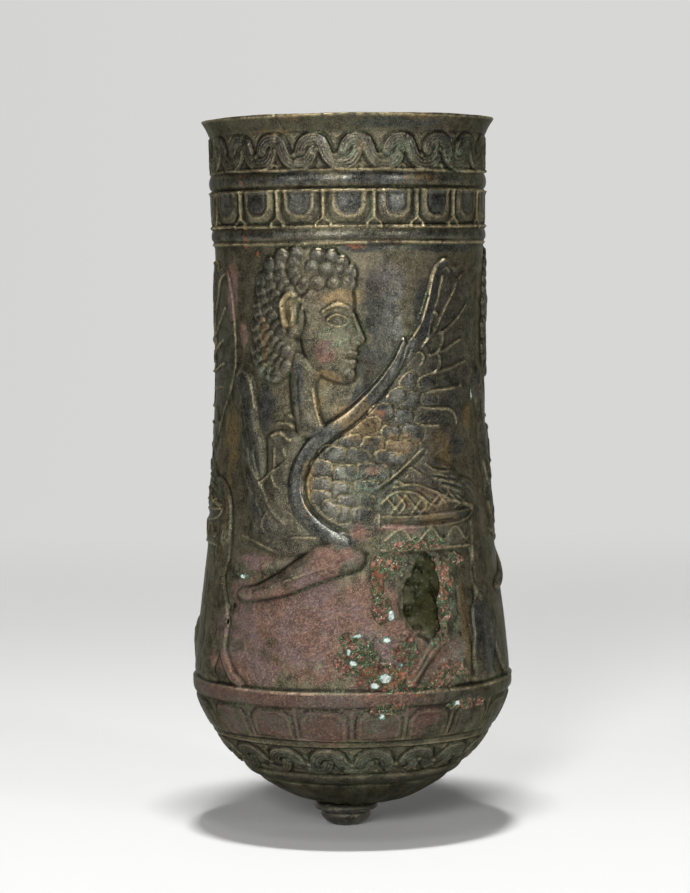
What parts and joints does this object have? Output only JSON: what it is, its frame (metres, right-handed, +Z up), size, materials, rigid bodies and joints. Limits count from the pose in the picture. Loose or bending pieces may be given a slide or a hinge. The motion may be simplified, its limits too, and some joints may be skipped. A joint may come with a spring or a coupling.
{
  "type": "situla",
  "caption": "Tall hammered bronze beaker with a flared lip, chased ring bands, a relief frieze of winged sphinxes and a small riveted button knob at the bottom.",
  "frame": {"origin": "point of the standing surface straight below the axis of the body; the knob's foot lies 1.7 mm to its left", "axes": "+Z up along the axis of the body, -Y towards the side that shows a whole sphinx, +X to the right seen from that side"},
  "size_m": [0.0728, 0.0728, 0.16],
  "materials": {
    "wall_bronze": "hammered and chased sheet bronze with a dark brown, green and red patina",
    "knob_bronze": "cast bronze button under a dark olive patina",
    "rove_bronze": "cut sheet bronze washer under a rough green patina"
  },
  "bodies": {
    "root": {"vessel_wall": "wall_bronze", "base_knob": "knob_bronze", "rivet_rove": "rove_bronze"}
  },
  "joints": []
}
